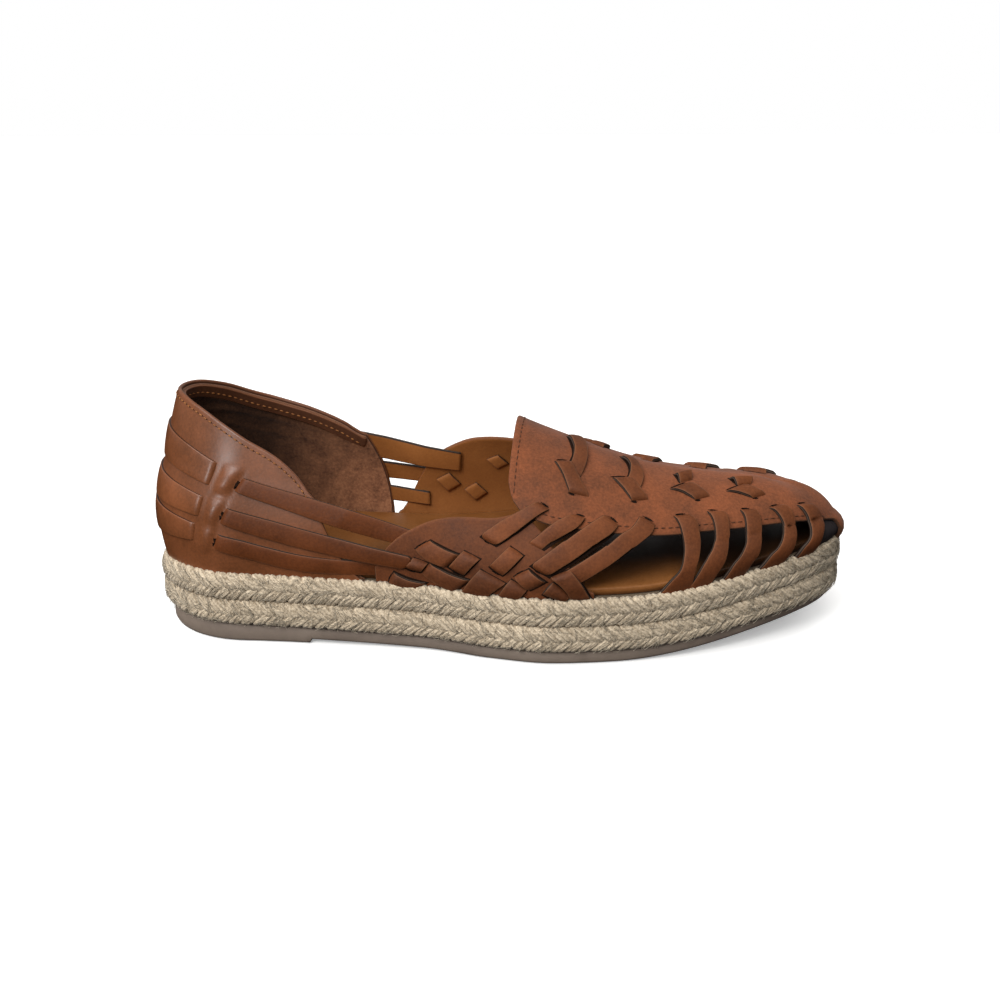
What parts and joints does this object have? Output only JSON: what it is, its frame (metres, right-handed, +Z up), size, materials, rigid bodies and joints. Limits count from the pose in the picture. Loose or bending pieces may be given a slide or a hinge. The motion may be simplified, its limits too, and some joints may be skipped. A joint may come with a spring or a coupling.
{
  "type": "espadrille",
  "caption": "Right-foot slip-on flat with a hollow upper of woven leather straps, an open collar and side cut-outs, on a plaited jute platform and a thin stepped rubber outsole.",
  "frame": {"origin": "middle of the shoe's box in plan, on the floor", "axes": "+X to the toe, +Y to the inner side of the foot, +Z up"},
  "size_m": [0.2622, 0.0942, 0.0903],
  "materials": {
    "outsole_rubber": "matt moulded grey-brown rubber",
    "jute": "natural plaited jute, unbleached",
    "insole_leather": "smooth tan lining leather",
    "upper_leather": "brown cowhide, waxed on the heel and brushed on the vamp"
  },
  "bodies": {
    "root": {"outsole": "outsole_rubber", "jute_braid_lower": "jute", "jute_braid_upper": "jute", "insole": "insole_leather", "upper": "upper_leather"}
  },
  "joints": []
}
